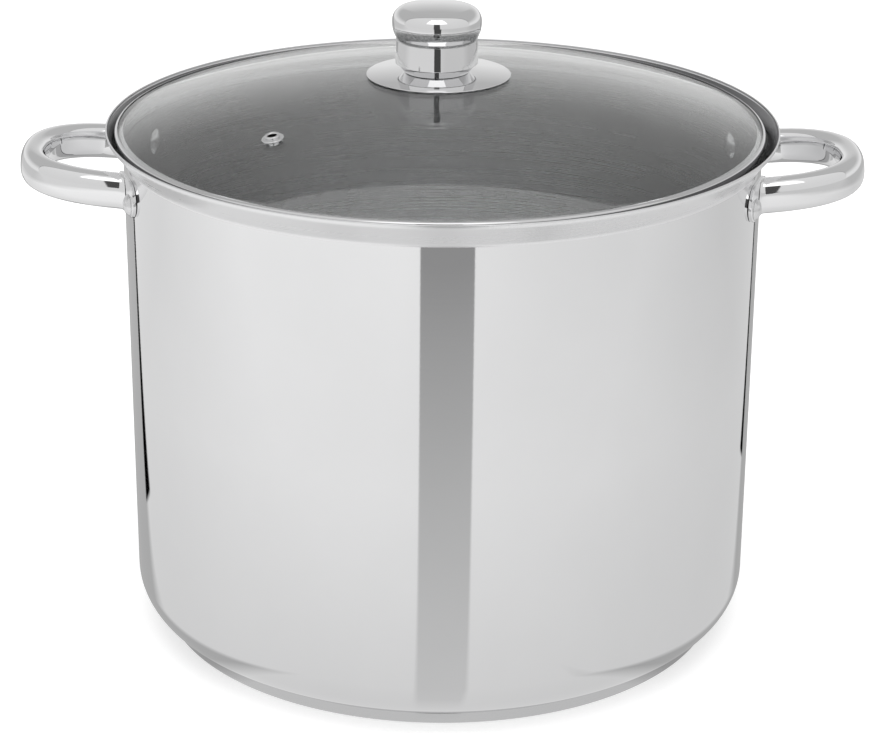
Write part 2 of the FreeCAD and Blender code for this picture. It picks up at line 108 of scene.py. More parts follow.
FLANGE_RADIUS = 36.0 * MM
FLANGE_SHEET = 0.6 * MM
FLANGE_DROP = 3.2
FLANGE_FLAT = 14.0 * MM
FLANGE_HOLE = 4.0 * MM
FLANGE_CENTRE = (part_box("knob_flange")[0].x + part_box("knob_flange")[1].x) / 2
KNOB_CENTRE = (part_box("knob_cap")[0].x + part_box("knob_cap")[1].x) / 2
FLANGE_BEND_RADIUS = 11.0 * MM
KNOB_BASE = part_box("knob_cup")[0].z
FLANGE_BASE_FLAT = KNOB_BASE - FLANGE_SHEET
KNOB_SHEET = 0.6 * MM
SCREW_RADIUS = 2.5 * MM
CUP_SLOPE = 50.0
CUP_EDGE_RADIUS = 1.0 * MM
SEAM_RADIUS = 20.65 * MM
SEAM_HEIGHT = 4.4 * MM
SEAM_GAP = 0.15 * MM
CAP_TAPER = 2.5
CAP_SIDE = 11.2 * MM
WAIST_RADIUS = 5.0 * MM
BELLY_RADIUS = 13.5 * MM
BELLY_TURN = 27.5
BELLY_LAND = 1.3 * MM
SHOULDER_RADIUS = 6.9 * MM
SHOULDER_TURN = 83.4

# ---------------------------------------------------------------- camera
CAMERA_PLACE = Vector((0.0, -1.2533, 0.6216))
CAMERA_PITCH = 0.3739
CAMERA_YAW = 0.0024
CAMERA_ROLL = 0.0079
CAMERA_LENS = 104.04           # millimetres, on the sensor below
CAMERA_SENSOR = 36
CAMERA_NEAREST = 0.05

# ---------------------------------------------------------------- how finely round things are made
WIDE_SIDES = 360
SMALL_SIDES = 128
ARC_STEP = 4.0
TIP_PARTS = 8
EDGE_PARTS = 6
ROLL_PARTS = 12
GLASS_RINGS = 60
HANDLE_PARTS = 110
HANDLE_SIDES = 72
FINE_LINE = 1200
FINE_SECTION = 1440
ON_AXIS = 1e-6
SMOOTH_ANGLE = 32
TUBE_SMOOTH_ANGLE = 50
FLAT_FACE = 0.9


# ---------------------------------------------------------------- mesh helpers
def polar(angle):
    turn = math.radians(angle)
    return Vector((math.cos(turn), math.sin(turn)))


def sheet_line(start, heading, steps, offset):
    """Points of a path of runs (length,) and bends (radius, turn), offset to the left, and its end."""
    here = Vector(start)
    points = [here + polar(heading + 90) * offset]
    for step in steps:
        side = polar(heading + 90)
        if len(step) == 1:
            here = here + polar(heading) * step[0]
            points.append(here + side * offset)
            continue
        radius, turn = step
        toward = 1 if turn > 0 else -1
        centre = here + side * (radius * toward)
        parts = max(2, math.ceil(abs(turn) / ARC_STEP))
        for index in range(1, parts + 1):
            spoke = polar(heading + turn * index / parts + 90)
            points.append(centre - spoke * ((radius - offset * toward) * toward))
        heading += turn
        here = centre - polar(heading + 90) * (radius * toward)
    return points, here, heading


def sheet_section(start, heading, steps, thickness, round_end=False):
    """Closed outline of a sheet's section, with the metal to the left of the path."""
    outer, end, last = sheet_line(start, heading, steps, 0)
    inner = sheet_line(start, heading, steps, thickness)[0]
    tip = []
    if round_end:
        middle = (outer[-1] + inner[-1]) / 2
        for index in range(1, TIP_PARTS):
            tip.append(middle + polar(last - 90 + 180 * index / TIP_PARTS) * (thickness / 2))
    return outer + tip + inner[::-1]


def link(name, mesh, material):
    piece = bpy.data.objects.new(name, mesh)
    bpy.context.scene.collection.objects.link(piece)
    mesh.materials.append(material)
    return piece


def smooth(mesh, angle=SMOOTH_ANGLE):
    mesh.polygons.foreach_set("use_smooth", [True] * len(mesh.polygons))
    mesh.set_sharp_from_angle(angle=math.radians(angle))


def finished(name, build, material, angle=SMOOTH_ANGLE):
    """Smooth-shaded object made of a bmesh."""
    bmesh.ops.recalc_face_normals(build, faces=build.faces)
    mesh = bpy.data.meshes.new(name)
    build.to_mesh(mesh)
    build.free()
    smooth(mesh, angle)
    return link(name, mesh, material)


def spin(name, outline, sides, material, centre=0.0):
    """Closed outline of (radius, height) points turned about the vertical axis at x = centre."""
    build = bmesh.new()
    turns = [2 * math.pi * index / sides for index in range(sides)]
    spokes = [(math.cos(turn), math.sin(turn)) for turn in turns]
    rings = []
    for point in outline:
        if point.x < ON_AXIS:
            rings.append([build.verts.new((centre, 0, point.y))])
            continue
        ring = []
        for cosine, sine in spokes:
            ring.append(build.verts.new((centre + point.x * cosine, point.x * sine, point.y)))
        rings.append(ring)
    for index, ring in enumerate(rings):
        follower = rings[(index + 1) % len(rings)]
        if len(ring) == 1 and len(follower) == 1:
            continue
        for side in range(sides):
            after = (side + 1) % sides
            corners = [ring[side % len(ring)], ring[after % len(ring)],
                       follower[after % len(follower)], follower[side % len(follower)]]
            build.faces.new(list(dict.fromkeys(corners)))
    return finished(name, build, material)


def settle(piece, body, slot, *nodes):
    """The piece rides on a body and stands for CAD nodes; its slot argument is not used."""
    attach(piece, body)
    if nodes:
        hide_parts(*nodes)
    return piece


# ---------------------------------------------------------------- materials
def new_material(name):
    material = bpy.data.materials.new(name)
    material.use_nodes = True
    nodes = material.node_tree.nodes
    return material, nodes, material.node_tree.links, nodes["Principled BSDF"]


def add(nodes, kind, **inputs):
    node = nodes.new(kind)
    for name, value in inputs.items():
        node.inputs[name.replace("_", " ")].default_value = value
    return node


def ramp(nodes, links, source, low, high, dark, light):
    """Level that goes from dark to light while the source goes from low to high."""
    node = nodes.new("ShaderNodeMapRange")
    node.inputs["From Min"].default_value = low
    node.inputs["From Max"].default_value = high
    node.inputs["To Min"].default_value = dark
    node.inputs["To Max"].default_value = light
    links.new(source, node.inputs["Value"])
    return node.outputs["Result"]


def maths(nodes, links, operation, first, second=None, third=None):
    """Result of a Math node; each value is a number or a socket."""
    node = nodes.new("ShaderNodeMath")
    node.operation = operation
    for index, value in enumerate((first, second, third)):
        if value is None:
            continue
        if isinstance(value, (int, float)):
            node.inputs[index].default_value = value
        else:
            links.new(value, node.inputs[index])
    return node.outputs[0]


def mix_tints(nodes, links, factor, first, second):
    """Colour that a factor blends from two tints."""
    tone = nodes.new("ShaderNodeMix")
    tone.data_type = "RGBA"
    tone.inputs["A"].default_value = (*first, 1)
    tone.inputs["B"].default_value = (*second, 1)
    links.new(factor, tone.inputs["Factor"])
    return tone.outputs["Result"]


DRAWN = (2.0, 2.0, 900.0)      # stretch of the grain: long round the pot, fine up it
GRAIN_DEPTH = 0.0002
CLOUD_SCALE = 14.0
SPECK_SCALE = 650.0
SPECK_SHARE = 0.3
GRAIN_RANGE = (0.1, 0.45)
CLOUD_RANGE = (0.35, 0.65)
STAIN = 0.02


def steel(name, tint, rough, spread, grain=DRAWN, depth=0.02):
    """Polished stainless: fine drawn grain, a roughness that wanders and a faint bloom in its colour."""
    material, nodes, links, shader = new_material(name)
    shader.inputs["Metallic"].default_value = 1.0
    place = nodes.new("ShaderNodeTexCoord").outputs["Object"]
    stretch = add(nodes, "ShaderNodeMapping", Scale=grain)
    links.new(place, stretch.inputs["Vector"])
    lines = add(nodes, "ShaderNodeTexNoise", Scale=1.0, Detail=4.0, Roughness=0.6)
    links.new(stretch.outputs["Vector"], lines.inputs["Vector"])
    cloud = add(nodes, "ShaderNodeTexNoise", Scale=CLOUD_SCALE, Detail=5.0, Roughness=0.62)
    links.new(place, cloud.inputs["Vector"])
    speck = add(nodes, "ShaderNodeTexNoise", Scale=SPECK_SCALE, Detail=2.0)
    links.new(place, speck.inputs["Vector"])
    worn = maths(nodes, links, "MULTIPLY", lines.outputs["Fac"], cloud.outputs["Fac"])
    links.new(ramp(nodes, links, worn, *GRAIN_RANGE, rough - spread, rough + spread),
              shader.inputs["Roughness"])
    bloom = ramp(nodes, links, cloud.outputs["Fac"], *CLOUD_RANGE, 0, 1)
    stained = [part * (1 - STAIN) for part in tint]
    links.new(mix_tints(nodes, links, bloom, stained, tint), shader.inputs["Base Color"])
    relief = maths(nodes, links, "MULTIPLY_ADD", speck.outputs["Fac"], SPECK_SHARE, lines.outputs["Fac"])
    bump = add(nodes, "ShaderNodeBump", Strength=depth, Distance=GRAIN_DEPTH)
    links.new(relief, bump.inputs["Height"])
    links.new(bump.outputs["Normal"], shader.inputs["Normal"])
    return material


def clear_glass(name):
    """Tempered glass with a faint green body colour and a trace of smears on its faces."""
    material, nodes, links, shader = new_material(name)
    shader.inputs["Base Color"].default_value = (0.975, 0.985, 0.982, 1)
    shader.inputs["Transmission Weight"].default_value = 1.0
    shader.inputs["IOR"].default_value = 1.5
    place = nodes.new("ShaderNodeTexCoord").outputs["Object"]
    smear = add(nodes, "ShaderNodeTexNoise", Scale=22.0, Detail=6.0, Roughness=0.6, Distortion=0.8)
    links.new(place, smear.inputs["Vector"])
    links.new(ramp(nodes, links, smear.outputs["Fac"], 0.5, 0.8, 0.0, 0.02), shader.inputs["Roughness"])
    return material


def silicone(name):
    """Milky rubber, a little uneven in colour and sheen."""
    material, nodes, links, shader = new_material(name)
    shader.inputs["Transmission Weight"].default_value = 0.5
    shader.inputs["IOR"].default_value = 1.41
    place = nodes.new("ShaderNodeTexCoord").outputs["Object"]
    cloud = add(nodes, "ShaderNodeTexNoise", Scale=300.0, Detail=3.0)
    links.new(place, cloud.inputs["Vector"])
    links.new(ramp(nodes, links, cloud.outputs["Fac"], 0.3, 0.7, 0.35, 0.5), shader.inputs["Roughness"])
    milky = mix_tints(nodes, links, cloud.outputs["Fac"], (0.74, 0.74, 0.72), (0.84, 0.84, 0.83))
    links.new(milky, shader.inputs["Base Color"])
    return material


BODY = steel("pot_outside_steel", (0.80, 0.80, 0.805), 0.035, 0.012)
INSIDE = steel("pot_inside_steel", (0.80, 0.80, 0.805), 0.27, 0.05, depth=0.05)
# painted shade: the inner floor is the wall's steel with its tint darkened for the shade down in the pot; its
# rougher finish is its own
INSIDE_FLOOR_SHADE = steel("pot_floor_painted_shade", (0.42, 0.42, 0.425), 0.24, 0.05, (160.0, 160.0, 160.0), 0.05)
# painted highlight: the inner corner is the wall's steel with its tint raised for the light arcs that gather
# there
INSIDE_CORNER_HIGHLIGHT = steel("pot_corner_painted_highlight", (0.93, 0.93, 0.935), 0.20, 0.06, depth=0.05)
# painted shade: the same steel darkened for the shade in the groove where the lid sits in the flare and where
# the band grips the glass
SEAT_SHADE = steel("lid_seat_painted_shade", (0.20, 0.20, 0.205), 0.30, 0.08, depth=0.05)
LIP = steel("pot_lip_steel", (0.86, 0.86, 0.865), 0.30, 0.06, depth=0.04)
BASE = steel("base_steel", (0.66, 0.66, 0.665), 0.12, 0.03, depth=0.05)
HANDLE = steel("handle_steel", (0.86, 0.86, 0.865), 0.05, 0.015, grain=(260.0, 260.0, 260.0))
TRIM = steel("lid_band_steel", (0.76, 0.76, 0.765), 0.06, 0.02)
KNOB = steel("knob_steel", (0.84, 0.84, 0.845), 0.03, 0.01, grain=(60.0, 60.0, 1500.0))
RIVET = steel("rivet_steel", (0.78, 0.78, 0.785), 0.22, 0.04, grain=(420.0, 420.0, 420.0), depth=0.06)
CORE = steel("core_aluminium", (0.72, 0.73, 0.74), 0.35, 0.08, grain=(90.0, 90.0, 90.0), depth=0.2)
GLASS = clear_glass("lid_clear_glass")
SILICONE = silicone("seal_silicone")


# ---------------------------------------------------------------- pot
def lip_steps():
    """Bend out, cone, bend back and upright edge of the flared lip."""
    slope = math.radians(FLARE_ANGLE)
    bend_out = (FLARE_ROOT_RADIUS + FLARE_EDGE_RADIUS) * (1 - math.cos(slope))
    cone = (LIP_RADIUS - POT_RADIUS - bend_out) / math.sin(slope)
    climb = (FLARE_ROOT_RADIUS + FLARE_EDGE_RADIUS) * math.sin(slope) + cone * math.cos(slope)
    edge = LIP_TOP - SHEET / 2 - FLARE_START - climb
    return [(FLARE_ROOT_RADIUS, -FLARE_ANGLE), (cone,), (FLARE_EDGE_RADIUS, FLARE_ANGLE), (edge,)]


POT_FINISHES_AND_PAINTED_LIGHT = (BODY, INSIDE, INSIDE_FLOOR_SHADE, INSIDE_CORNER_HIGHLIGHT, SEAT_SHADE, LIP)
INSIDE_ZONES = (                # top of each zone, from the floor up, and its finish: painted shade on the floor and the seat, a painted highlight in the corner
    (POT_FLOOR + 2 * SHEET, INSIDE_FLOOR_SHADE),
    (POT_FLOOR + CORNER_RADIUS, INSIDE_CORNER_HIGHLIGHT),
    (FLARE_START, INSIDE),
    (LIP_TOP - 2 * SHEET, SEAT_SHADE),
)


def pot_finish_or_painted_light(face):
    """The finish of one of the pot's faces, or its painted shade or highlight, by its side and height."""
    out = Vector((face.center.x, face.center.y, 0))
    on_floor = face.normal.z > FLAT_FACE and out.length < POT_RADIUS
    if face.normal.dot(out) < 0 or on_floor:
        for top, finish in INSIDE_ZONES:
            if face.center.z < top:
                return finish
    return LIP if face.center.z > FLARE_START else BODY


def make_pot():
    """Drawn shell: mirror polish outside, brushed inside, a satin lip, painted shade on the inner floor and
    on the seat under the lid, and a painted highlight in the inner corner.
    """
    wall = FLARE_START - POT_FLOOR - CORNER_RADIUS
    steps = [(POT_RADIUS - CORNER_RADIUS,), (CORNER_RADIUS, 90), (wall,)] + lip_steps()
    outline = sheet_section((0, POT_FLOOR), 0, steps, SHEET, round_end=True)
    pot = spin("pot_body", outline, WIDE_SIDES, BODY)
    for finish in POT_FINISHES_AND_PAINTED_LIGHT[1:]:
        pot.data.materials.append(finish)
    for face in pot.data.polygons:
        face.material_index = POT_FINISHES_AND_PAINTED_LIGHT.index(pot_finish_or_painted_light(face))
    return settle(pot, "pot", "pot_steel", "pot_shell")


def make_base():
    """Encapsulating cap: rounded foot, satin underside and an upper edge turned in to leave a fine seam."""
    lean = math.acos((CAP_RADIUS - (POT_RADIUS - CORNER_RADIUS)) / CORNER_RADIUS)
    seam = POT_FLOOR + CORNER_RADIUS * (1 - math.sin(lean))
    upright = seam - CAP_EDGE_RADIUS - 2 * CAP_RIM
    steps = [(CAP_RADIUS - CAP_EDGE_RADIUS,), (CAP_EDGE_RADIUS, 90), (upright,), (CAP_RIM, CAP_RIM_TURN),
             (CAP_RIM,)]
    cap = spin("base_disc_cap", sheet_section((0, 0), 0, steps, CAP_RIM), WIDE_SIDES, BASE)
    return settle(cap, "pot", "base_steel", "base_cap")


# ---------------------------------------------------------------- handles
HANDLE_TILT = Matrix.Rotation(-math.radians(HANDLE_RISE), 3, "Y")


def superellipse(half_wide, half_tall, power, angle):
    """Point of a rounded rectangle that is an ellipse at power 2."""
    cosine = math.cos(angle)
    sine = math.sin(angle)
    wide = half_wide * math.copysign(abs(cosine) ** (2 / power), cosine)
    tall = half_tall * math.copysign(abs(sine) ** (2 / power), sine)
    return wide, tall


def evenly(fine, parts):
    """Points spaced evenly along a line given by many fine points, its two ends included."""
    gone = [0.0]
    for before, after in zip(fine, fine[1:]):
        gone.append(gone[-1] + (after - before).length)
    points = []
    cursor = 0
    for index in range(parts + 1):
        want = gone[-1] * index / parts
        while cursor < len(fine) - 2 and gone[cursor + 1] < want:
            cursor += 1
        share = (want - gone[cursor]) / (gone[cursor + 1] - gone[cursor])
        points.append(fine[cursor].lerp(fine[cursor + 1], share))
    return points


def handle_line():
    """Evenly spaced points of a handle's centre line, seen from above."""
    root = HANDLE_REACH - TUBE_DEPTH / 2 - HANDLE_LOOP_LENGTH
    fine = []
    for index in range(FINE_LINE + 1):
        angle = math.pi * (index / FINE_LINE - 0.5)
        along, across = superellipse(HANDLE_LOOP_LENGTH, HANDLE_HALF_SPAN, HANDLE_ROUNDNESS, angle)
        fine.append(Vector((root + along, across, 0)))
    return evenly(fine, HANDLE_PARTS)


def oval_section():
    """Points of the tube's section, evenly spaced round it: (sideways, up)."""
    fine = []
    for index in range(FINE_SECTION):
        angle = 2 * math.pi * index / FINE_SECTION
        fine.append(Vector(superellipse(TUBE_DEPTH / 2, TUBE_TALL / 2, TUBE_ROUNDNESS, angle)))
    return evenly(fine + fine[:1], HANDLE_SIDES)[:-1]


def handle_place(point):
    """Moves a point of the level handle to its height on the pot, tilted a little upwards."""
    pivot = Vector(((POT_RADIUS + HANDLE_REACH) / 2, 0, 0))
    moved = HANDLE_TILT @ (point - pivot) + pivot
    moved.z += HANDLE_HEIGHT
    return moved


def handle_rings():
    """Rings of the bent tube, from one arm's root to the other's."""
    section = oval_section()
    line = handle_line()
    rings = []
    for index, middle in enumerate(line):
        before = line[max(index - 1, 0)]
        after = line[min(index + 1, HANDLE_PARTS)]
        heading = (after - before).normalized()
        if index == 0:
            heading = Vector((1, 0, 0))
        if index == HANDLE_PARTS:
            heading = Vector((-1, 0, 0))
        across = Vector((heading.y, -heading.x, 0))
        rings.append([handle_place(middle + across * p.x + Vector((0, 0, p.y))) for p in section])
    return rings, handle_place(line[0]), handle_place(line[-1])


def handle_stub(ring, middle, half):
    """Rings from an arm's root back to its ear, the last ones flared as a weld fillet."""
    turn = math.radians(RIVET_AZIMUTH) * half
    normal = Vector((math.cos(turn), math.sin(turn), 0))
    ear_face = POT_RADIUS + EAR_THICK + RUNNING_GAP
    back = HANDLE_TILT @ Vector((-1, 0, 0))
    found = []
    for share in WELD_RINGS:
        flare = max(0.0, (share - WELD_START) / (1 - WELD_START)) ** 2 * WELD_TALL
        level = []
        for corner in ring:
            run = (ear_face - corner.dot(normal)) / back.dot(normal)
            away = (corner - middle).normalized()
            level.append(corner + back * (run * share) + away * flare)
        found.append(level)
    return found


def make_handle(name, node, side):
    """Bent oval tube, closed against its two ears with a small weld fillet."""
    rings, first_root, last_root = handle_rings()
    start = handle_stub(rings[0], first_root, -1)
    finish = handle_stub(rings[-1], last_root, 1)
    build = bmesh.new()
    made = []
    for ring in start[::-1] + rings + finish:
        made.append([build.verts.new((side * p.x, side * p.y, p.z)) for p in ring])
    for low, high in zip(made, made[1:]):
        for index in range(HANDLE_SIDES):
            after = (index + 1) % HANDLE_SIDES
            build.faces.new((low[index], low[after], high[after], high[index]))
    build.faces.new(made[0])
    build.faces.new(made[-1])
    handle = finished(name, build, HANDLE, TUBE_SMOOTH_ANGLE)
    return settle(handle, "pot", "handle_steel", node)


# ---------------------------------------------------------------- lid
def glass_height(radius, inset):
    """Height of the dome at a radius, so far in from its top face."""
    curve = GLASS_CURVE - inset
    return GLASS_TOP - GLASS_CURVE + math.sqrt(curve * curve - radius * radius)


def vent_place():
    """Frame on the dome's top face at the vent, with Z along the glass normal."""
    lean = math.asin(VENT_RADIUS / GLASS_CURVE)
    turn = math.radians(VENT_AZIMUTH)
    normal = Vector((math.sin(lean) * math.cos(turn), math.sin(lean) * math.sin(turn), math.cos(lean)))
    centre = Vector((LID_CENTRE, 0, GLASS_TOP - GLASS_CURVE))
    turned = Vector((0, 0, 1)).rotation_difference(normal)
    return Matrix.Translation(centre + normal * GLASS_CURVE) @ turned.to_matrix().to_4x4()


def drill(piece, radius, low, high, placement):
    """Cuts a round hole through a piece, from low to high along the placement's Z axis."""
    outline = [Vector((0, low)), Vector((radius, low)), Vector((radius, high)), Vector((0, high))]
    cutter = spin("cutter", outline, SMALL_SIDES // 2, GLASS)
    cutter.matrix_world = placement
    carve = piece.modifiers.new("hole", "BOOLEAN")
    carve.object = cutter
    carve.operation = "DIFFERENCE"
    carve.solver = "EXACT"
    bpy.context.view_layer.update()
    depsgraph = bpy.context.evaluated_depsgraph_get()
    cut = bpy.data.meshes.new_from_object(piece.evaluated_get(depsgraph))
    piece.modifiers.clear()
    piece.data = cut
    bpy.data.objects.remove(cutter)


def make_glass():
    """Domed glass with ground edges, a knob hole and a vent hole."""
    ground = BAND_EDGE_RADIUS - BAND_SHEET + 2 * RUNNING_GAP
    reach = GLASS_EDGE - ground
    radii = [reach * index / GLASS_RINGS for index in range(GLASS_RINGS + 1)]
    top = [Vector((radius, glass_height(radius, 0))) for radius in radii]
    under = [Vector((radius, glass_height(radius, GLASS_THICK))) for radius in reversed(radii)]
    upper = Vector((reach, top[-1].y - ground))
    lower = Vector((reach, under[0].y + ground))
    edge = arc_points(upper, ground, GROUND_TURN, 0) + arc_points(lower, ground, 0, -GROUND_TURN)
    glass = spin("lid_glass_dome", top + edge + under, WIDE_SIDES, GLASS, LID_CENTRE)
    knob_axis = Matrix.Translation((KNOB_CENTRE, 0, GLASS_TOP))
    drill(glass, GLASS_HOLE, -3 * GLASS_THICK, GLASS_THICK, knob_axis)
    drill(glass, VENT_HOLE + VENT_TUBE_WALL + RUNNING_GAP, -3 * GLASS_THICK, GLASS_THICK, vent_place())
    smooth(glass.data)
    return settle(glass, "lid", "lid_glass", "lid_glass")


def make_band():
    """Rolled steel channel round the glass edge, with painted shade on the inner faces that grip the glass.
    """
    lean = math.asin(BAND_RADIUS / GLASS_CURVE)
    slope = math.degrees(lean)
    clear = BAND_SHEET / math.cos(lean) + RUNNING_GAP
    lap_end = BAND_RADIUS - BAND_EDGE_RADIUS * (1 + math.sin(lean))
    start_radius = lap_end - BAND_LOWER_LAP * math.cos(lean)
    start = Vector((start_radius, glass_height(start_radius, GLASS_THICK) - clear))
    top_radius = BAND_RADIUS - BAND_EDGE_RADIUS * (1 - math.sin(lean))
    rise = glass_height(top_radius, 0) + clear - start.y
    wall = rise + BAND_LOWER_LAP * math.sin(lean) - 2 * BAND_EDGE_RADIUS * math.cos(lean)
    steps = [(BAND_LOWER_LAP - PAINTED_SHADE_LAP,), (PAINTED_SHADE_LAP,), (BAND_EDGE_RADIUS, 90 + slope), (wall,),
             (BAND_EDGE_RADIUS, 90 - slope), (BAND_TOP_LAP,)]
    outline = sheet_section(start, -slope, steps, BAND_SHEET, round_end=True)
    band = spin("lid_edge_band", outline, WIDE_SIDES, TRIM, LID_CENTRE)
    # painted shade: faces turned to the glass, from the outer part of the lower lap round to the top lap,
    # take the darkened seat steel
    band.data.materials.append(SEAT_SHADE)
    middle = BAND_RADIUS - GLASS_THICK
    for face in band.data.polygons:
        out = Vector((face.center.x - LID_CENTRE, face.center.y, 0))
        core = out.normalized() * middle + Vector((0, 0, glass_height(middle, GLASS_THICK / 2)))
        here = Vector((out.x, out.y, face.center.z))
        if out.length > lap_end - PAINTED_SHADE_LAP and face.normal.dot(core - here) > 0:
            face.material_index = 1
    return settle(band, "lid", "band_steel", "lid_rim_band")


def arc_points(centre, radius, start, end, parts=EDGE_PARTS):
    found = []
    for index in range(parts + 1):
        found.append(centre + polar(start + (end - start) * index / parts) * radius)
    return found


def make_eyelet():
    """Vent eyelet: flange on the glass, a raised rolled lip and a straight tube below."""
    tube = VENT_HOLE + VENT_TUBE_WALL
    roll = (VENT_LIP_RADIUS - VENT_HOLE) / 2
    soft = VENT_FLANGE_TALL / 2
    below = -GLASS_THICK - 2 * VENT_TUBE_WALL
    lip_mid = Vector((VENT_HOLE + roll, VENT_LIP_TALL - roll))
    outline = [Vector((VENT_HOLE, below)), Vector((tube, below)), Vector((tube, RUNNING_GAP))]
    outline += arc_points(Vector((VENT_FLANGE - soft, soft + RUNNING_GAP)), soft, -90, 90)
    outline.append(Vector((VENT_LIP_RADIUS - VENT_NECK_IN, VENT_FLANGE_TALL + RUNNING_GAP)))
    outline += arc_points(lip_mid, roll, 0, 180, ROLL_PARTS)
    eyelet = spin("vent_grommet", outline, SMALL_SIDES, TRIM)
    eyelet.data.transform(vent_place())
    return settle(eyelet, "lid", "band_steel", "vent_eyelet")


# ---------------------------------------------------------------- knob
def make_flange():
    """Thin round plate under the knob, sloping down a little to a rounded edge."""
    start = (FLANGE_HOLE, FLANGE_BASE_FLAT)
    steps = [(FLANGE_FLAT - FLANGE_HOLE,), (FLANGE_BEND_RADIUS, -FLANGE_DROP)]
    end = sheet_line(start, 0, steps, 0)[1]
    reach = (FLANGE_RADIUS - FLANGE_SHEET / 2 - end.x) / math.cos(math.radians(FLANGE_DROP))
    outline = sheet_section(start, 0, steps + [(reach,)], FLANGE_SHEET, round_end=True)
    flange = spin("knob_skirt", outline, SMALL_SIDES * 2, KNOB, FLANGE_CENTRE)
    return settle(flange, "lid", "knob_steel", "knob_flange")


def make_cup():
    """Lower half of the knob: flat foot, steep cone and the spigot inside the upper half."""
    slope = math.radians(CUP_SLOPE)
    tangent = CUP_EDGE_RADIUS * math.tan(slope / 2)
    start = Vector((SCREW_RADIUS + RUNNING_GAP, KNOB_BASE))
    spigot_tall = CAP_SIDE / 4
    lean_in = spigot_tall * math.tan(math.radians(CAP_TAPER))
    spigot_radius = SEAM_RADIUS - KNOB_SHEET - lean_in - 2 * RUNNING_GAP
    rest_turn = 90 - CUP_SLOPE
    top_tangent = CUP_EDGE_RADIUS * math.tan(math.radians(rest_turn) / 2)
    floor_run = spigot_radius - SEAM_HEIGHT / math.tan(slope) - tangent - start.x
    cone = SEAM_HEIGHT / math.sin(slope) - tangent - top_tangent
    steps = [(floor_run,), (CUP_EDGE_RADIUS, CUP_SLOPE), (cone,), (CUP_EDGE_RADIUS, rest_turn),
             (spigot_tall,)]
    outline = sheet_section(start, 0, steps, KNOB_SHEET)
    cup = spin("knob_lower_cup", outline, SMALL_SIDES * 2, KNOB, KNOB_CENTRE)
    return settle(cup, "lid", "knob_steel", "knob_cup")


def make_cap():
    """Upper half of the knob: tapered side, waist, belly and rounded crown."""
    start = Vector((SEAM_RADIUS, KNOB_BASE + SEAM_HEIGHT + SEAM_GAP))
    heading = 90 + CAP_TAPER
    steps = [(CAP_SIDE,), (WAIST_RADIUS, -BELLY_TURN - CAP_TAPER), (BELLY_RADIUS, BELLY_TURN),
             (BELLY_LAND,), (SHOULDER_RADIUS, SHOULDER_TURN)]
    end, last = sheet_line(start, heading, steps, 0)[1:]
    rest = 180 - last
    crown = end.x / math.sin(math.radians(rest))
    outline = sheet_section(start, heading, steps + [(crown, rest)], KNOB_SHEET)
    for point in outline:
        point.x = max(point.x, 0.0)
    cap = spin("knob_upper_shell", outline, SMALL_SIDES * 2, KNOB, KNOB_CENTRE)
    return settle(cap, "lid", "knob_steel", "knob_cap")


# ---------------------------------------------------------------- CAD pieces that stay as they are
def dress(node, material):
    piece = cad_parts[node]
    piece.data.materials.clear()
    piece.data.materials.append(material)


def dress_cad():
    for place in ("right_front", "right_rear", "left_rear", "left_front"):
        dress(place + "_ear", HANDLE)
        dress(place + "_rivet", RIVET)
    dress("base_core", CORE)
    dress("vent_washer", TRIM)
    dress("knob_gasket_upper", SILICONE)
    dress("knob_gasket_lower", SILICONE)
    for node in ("knob_screw_washer", "knob_screw", "knob_boss"):
        dress(node, RIVET)


# ---------------------------------------------------------------- studio
# A fade is (from, to, level at the first, level at the second). Angles are in degrees, lengths in metres.
FLOOR_HALF = 6.0
FLOOR_GREY = (0.75, 0.75, 0.75, 1)
FLOOR_GLOW = 0.5
WHITE = (1, 1, 1, 1)

# dark gap between the two front softboxes, and the bright box above it
GAP_HALF_ANGLE = 8.1
GAP_SOFT = 0.4
GAP_LEVEL = 0.1
BOX_HALF_ANGLE = 30.0
BOX_LOW = 36.0
BOX_HIGH = 72.0
BOX_SOFT = 2.0
BOX_EXTRA = 0.9
FRONT_FADE = (0.0, 60.0, 0.92, 1.0)

# rear wall, which begins behind the zenith at a dark seam
ZENITH_EDGE = 95.0
ZENITH_SOFT = 1.5
SEAM_FADE = (1.2, 2.0, 0.45, 1.0)
BACK_FADE = (8.0, 24.0, 1.05, 0.64)

# table as the steel sees it: a duller lane ahead of the pot, and white that changes with the distance
CARD_HEIGHT = 0.2 * MM
LANE_HALF = 0.0125
LANE_SPREAD = 0.167
LANE_DRIFT = 0.04
LANE_SOFT = 0.002
LANE_START = 0.01
LANE_FADE = (0.0, 0.62, 0.66, 0.32)
LANE_END_FADE = (0.66, 0.95, 1.0, 0.2)
NEAR_FADE = (POT_RADIUS, 0.42, 0.80, 0.93)
FAR_FADE = (0.42, 0.9, 1.0, 1.06)
FARTHEST_FADE = (0.95, 1.25, 1.0, 0.76)
SIDE_FADE = (-0.15, 0.7, 1.0, 0.84)
BEHIND_FADE = (-0.3, 0.25, 1.0, 0.84)

# black edges of the white sweep behind the pot, on the left (-1) and on the right (1)
SWEEP_START = {-1.0: (0.252, 0.074), 1.0: (0.258, 0.156)}
SWEEP_SLOPE = {-1.0: 1.68, 1.0: 2.26}
SWEEP_SIDE_FADE = (0.1, 0.12, 0.0, 1.0)
SWEEP_EDGE_HALF = 0.008
SWEEP_EDGE_SOFT = 0.006
SWEEP_END = 0.57
SWEEP_SOFT = 0.01
BEYOND_SWEEP = 0.62

TOP_LIGHT_PLACE = Vector((0, 0.4, 2.6))
TOP_LIGHT_SIZE = 3.0
TOP_LIGHT_POWER = 30


